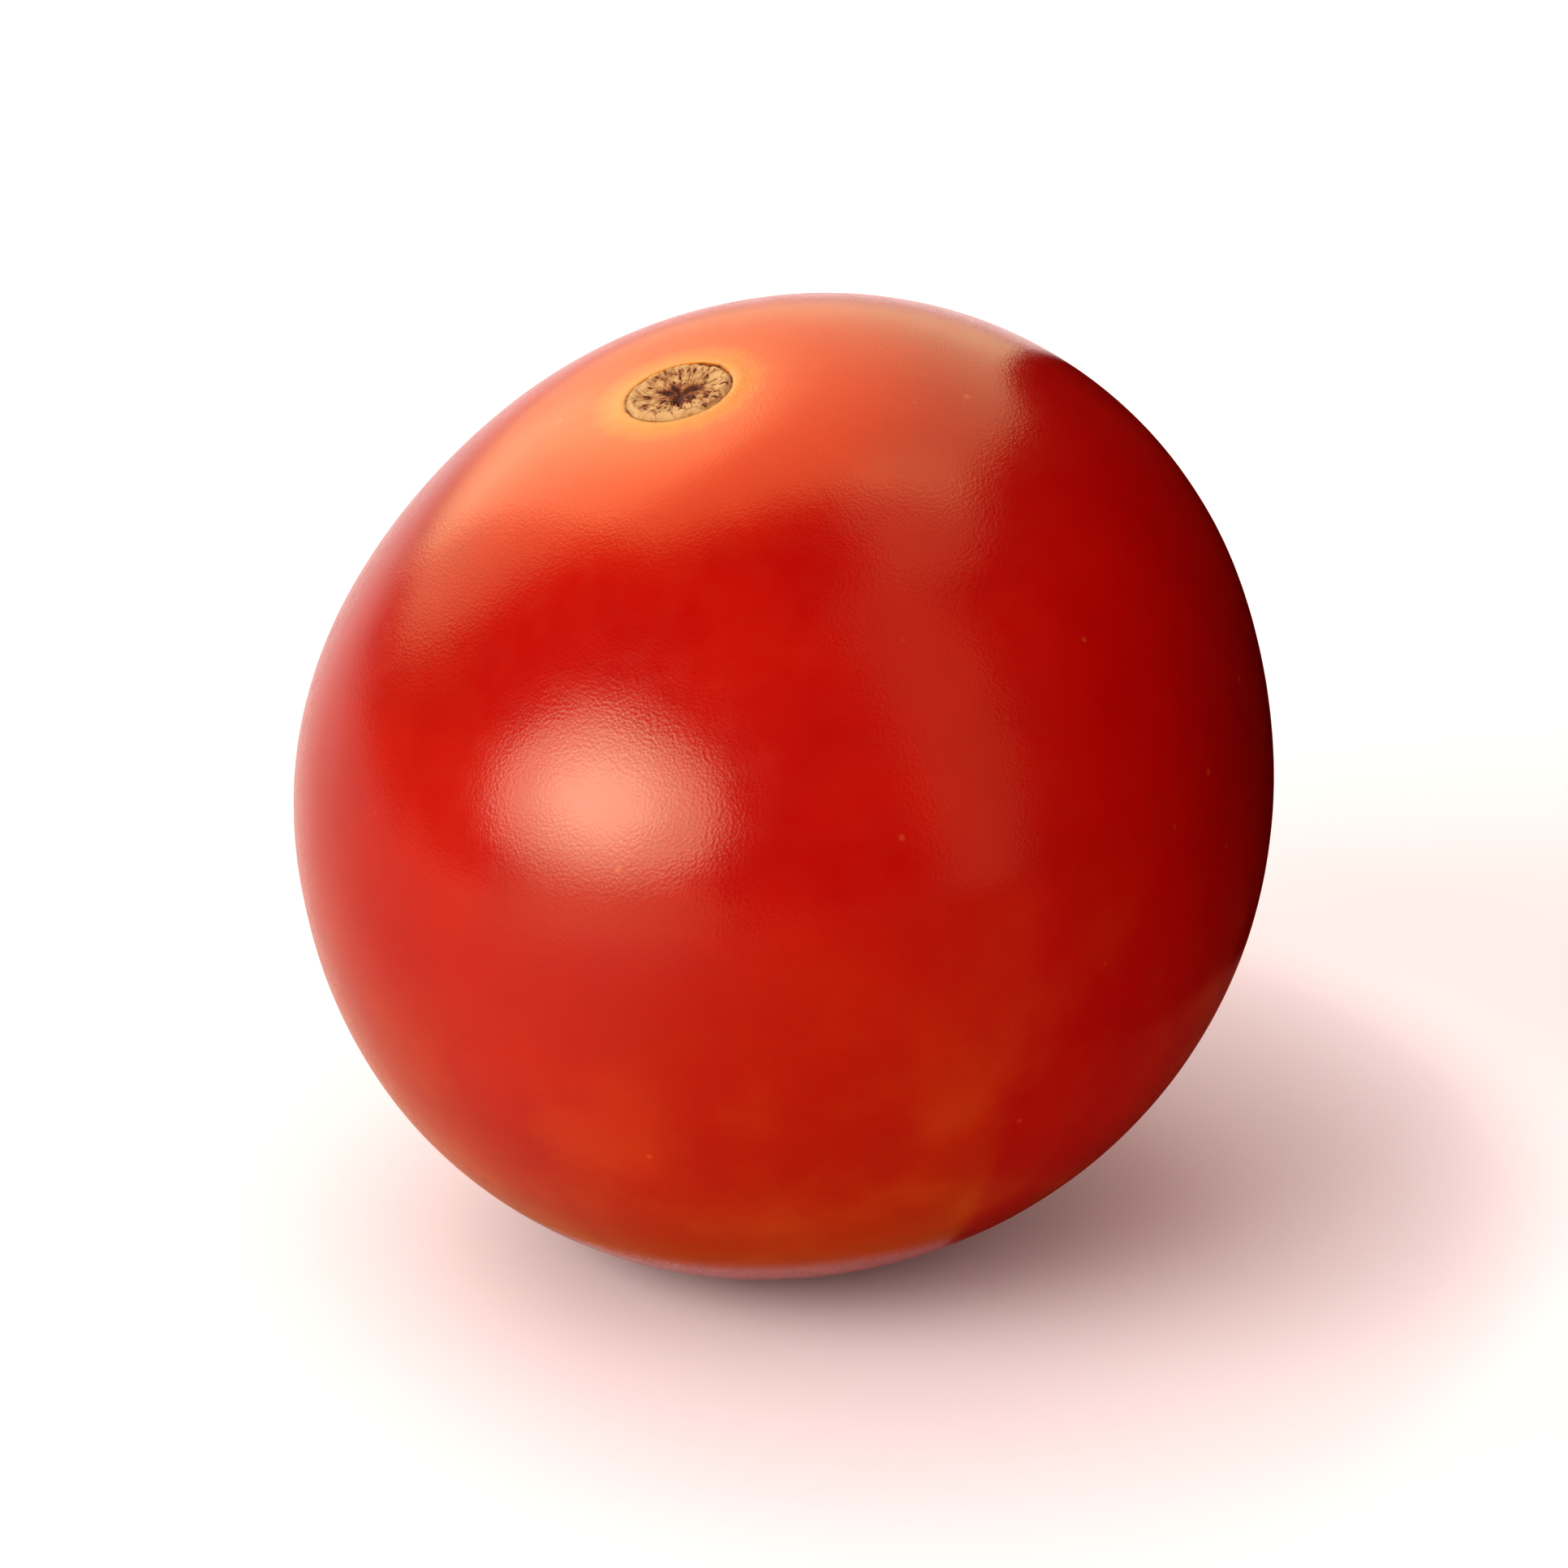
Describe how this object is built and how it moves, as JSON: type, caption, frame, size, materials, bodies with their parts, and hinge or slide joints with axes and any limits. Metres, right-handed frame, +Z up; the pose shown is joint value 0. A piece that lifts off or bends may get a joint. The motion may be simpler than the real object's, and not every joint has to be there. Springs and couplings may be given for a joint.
{
  "type": "cherry tomato",
  "caption": "Whole ripe cherry tomato, near-spherical with a corky stem scar in a shallow basin, leaning slightly and resting on a small flat spot.",
  "frame": {"origin": "on the surface the fruit rests on, under the middle of its bounding box", "axes": "+Z up; the stem end is uppermost and leans 13 degrees towards -X and 4 degrees towards -Y, the side seen from the front"},
  "size_m": [0.032, 0.0328, 0.0308],
  "materials": {
    "tomato_skin": "ripe red skin with a soft waxy shine, paling to orange round the stem scar",
    "scar_cork": "dry beige cork with dark brown cracks"
  },
  "bodies": {
    "root": {"cherry_tomato": "tomato_skin"}
  },
  "joints": []
}
